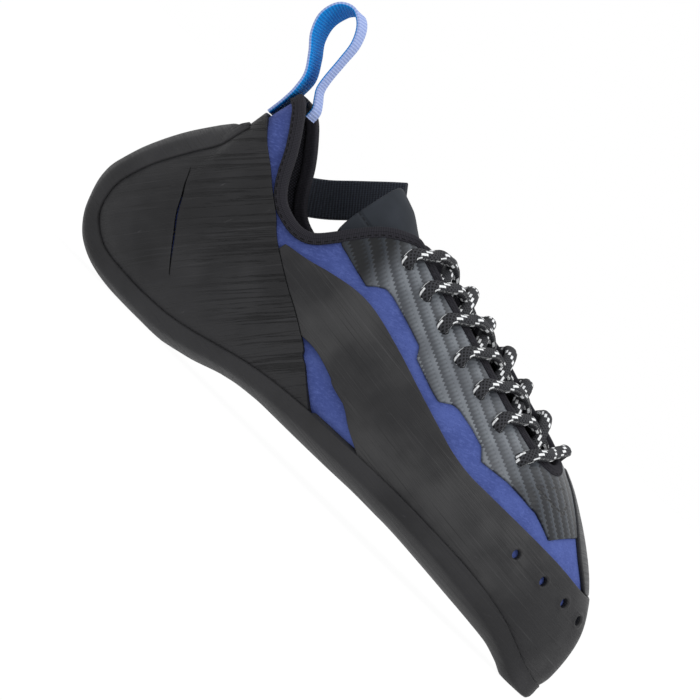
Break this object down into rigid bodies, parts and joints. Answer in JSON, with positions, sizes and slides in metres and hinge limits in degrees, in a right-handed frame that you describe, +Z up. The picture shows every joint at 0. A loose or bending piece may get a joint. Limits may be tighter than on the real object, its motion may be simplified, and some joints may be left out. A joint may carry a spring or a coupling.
{
  "type": "climbing shoe",
  "caption": "Lace-up climbing shoe, right foot, downturned, with a rubber-wrapped heel and toe, an open collar, laced tongue and a heel pull loop.",
  "frame": {"origin": "middle of the flat spot under the heel, on the floor", "axes": "+X from heel to toe, +Y to the inner (big toe) side, +Z up"},
  "size_m": [0.2492, 0.0895, 0.1382],
  "materials": {
    "suede": "napped",
    "sole_rubber": "matt",
    "board": "matt",
    "tongue_cloth": "smooth",
    "rand_rubber": "satin",
    "overlay": "printed, semi-gloss",
    "binding_tape": "woven",
    "lace_cord": "braided",
    "loop_webbing": "woven",
    "strap_elastic": "ribbed"
  },
  "bodies": {
    "root": {"upper": "suede", "outsole": "sole_rubber", "insole": "board", "tongue": "tongue_cloth", "heel_rand": "rand_rubber", "toe_rand": "rand_rubber", "toe_patch": "rand_rubber", "eyestay": "overlay", "collar_binding": "binding_tape", "lace": "lace_cord", "heel_pull_loop": "loop_webbing", "tongue_strap": "strap_elastic"}
  },
  "joints": []
}
